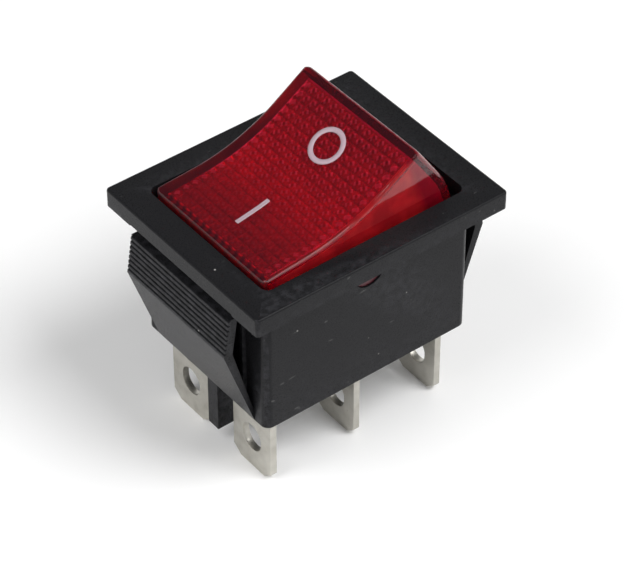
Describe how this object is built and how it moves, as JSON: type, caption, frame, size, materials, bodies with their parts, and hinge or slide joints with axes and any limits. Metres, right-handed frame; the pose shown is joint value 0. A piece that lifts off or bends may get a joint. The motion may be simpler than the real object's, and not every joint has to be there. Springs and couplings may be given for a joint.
{
  "type": "panel rocker switch",
  "caption": "Snap-in panel rocker switch with a dished translucent red lamp rocker, square black bezel, serrated snap wings and blade terminals in two rows.",
  "frame": {"origin": "centre of the bezel's underside, the plane that seats on the panel", "axes": "+X along the long side towards the raised O end, +Y across the poles towards the rear row, +Z out of the panel towards the rocker"},
  "size_m": [0.0332, 0.0252, 0.0349],
  "materials": {
    "black_plastic": "fine matt moulded nylon",
    "red_plastic": "glossy translucent",
    "white_plastic": "matt reflector",
    "lamp_glass": "clear",
    "resistor_coat": "lacquered",
    "plated_brass": "tinned, stamped",
    "silver": "silver contact face",
    "copper_alloy": "stamped",
    "spring_steel": "drawn wire",
    "nickel_steel": "nickel plated"
  },
  "bodies": {
    "base": {"housing": "black_plastic", "common_terminal_front": "plated_brass", "common_terminal_rear": "plated_brass", "left_terminal_front": "plated_brass", "left_terminal_rear": "plated_brass", "right_terminal_front": "plated_brass", "right_terminal_rear": "plated_brass", "fixed_contact_left_front": "silver", "fixed_contact_left_rear": "silver", "fixed_contact_right_front": "silver", "fixed_contact_right_rear": "silver"},
    "rocker_group": {"rocker": "red_plastic", "lamp_carrier": "white_plastic", "lamp_glass": "lamp_glass", "electrode_front": "nickel_steel", "electrode_rear": "nickel_steel", "resistor": "resistor_coat", "spring_front": "spring_steel", "spring_rear": "spring_steel"},
    "pin_front": {"plunger_front": "nickel_steel"},
    "arm_front": {"seesaw_front": "copper_alloy", "moving_contact_left_front": "silver", "moving_contact_right_front": "silver"},
    "pin_rear": {"plunger_rear": "nickel_steel"},
    "arm_rear": {"seesaw_rear": "copper_alloy", "moving_contact_left_rear": "silver", "moving_contact_right_rear": "silver"}
  },
  "joints": [
    {"name": "rocker_tilt", "type": "hinge", "parent": "base", "child": "rocker_group", "pos_m": [0, 0, -0.0016], "axis": [0, 1, 0], "range_deg": [0, 38]},
    {"name": "seesaw_front_tilt", "type": "hinge", "parent": "base", "child": "arm_front", "pos_m": [0, -0.00525, -0.0116], "axis": [0, 1, 0], "range_deg": [-16, 0]},
    {"name": "plunger_front_slide", "type": "slide", "parent": "rocker_group", "child": "pin_front", "axis": [-0.3256, 0, 0.9455], "range_m": [0, 0.0008], "stiffness_N_per_m": 600, "springref_m": -0.0015, "deforming": ["spring_front"]},
    {"name": "seesaw_rear_tilt", "type": "hinge", "parent": "base", "child": "arm_rear", "pos_m": [0, 0.00525, -0.0116], "axis": [0, 1, 0], "range_deg": [-16, 0]},
    {"name": "plunger_rear_slide", "type": "slide", "parent": "rocker_group", "child": "pin_rear", "axis": [-0.3256, 0, 0.9455], "range_m": [0, 0.0008], "stiffness_N_per_m": 600, "springref_m": -0.0015, "deforming": ["spring_rear"]}
  ],
  "couplings": [
    {"joint": "seesaw_front_tilt", "follows": "rocker_tilt", "ratio": -0.42105},
    {"joint": "seesaw_rear_tilt", "follows": "rocker_tilt", "ratio": -0.42105}
  ]
}
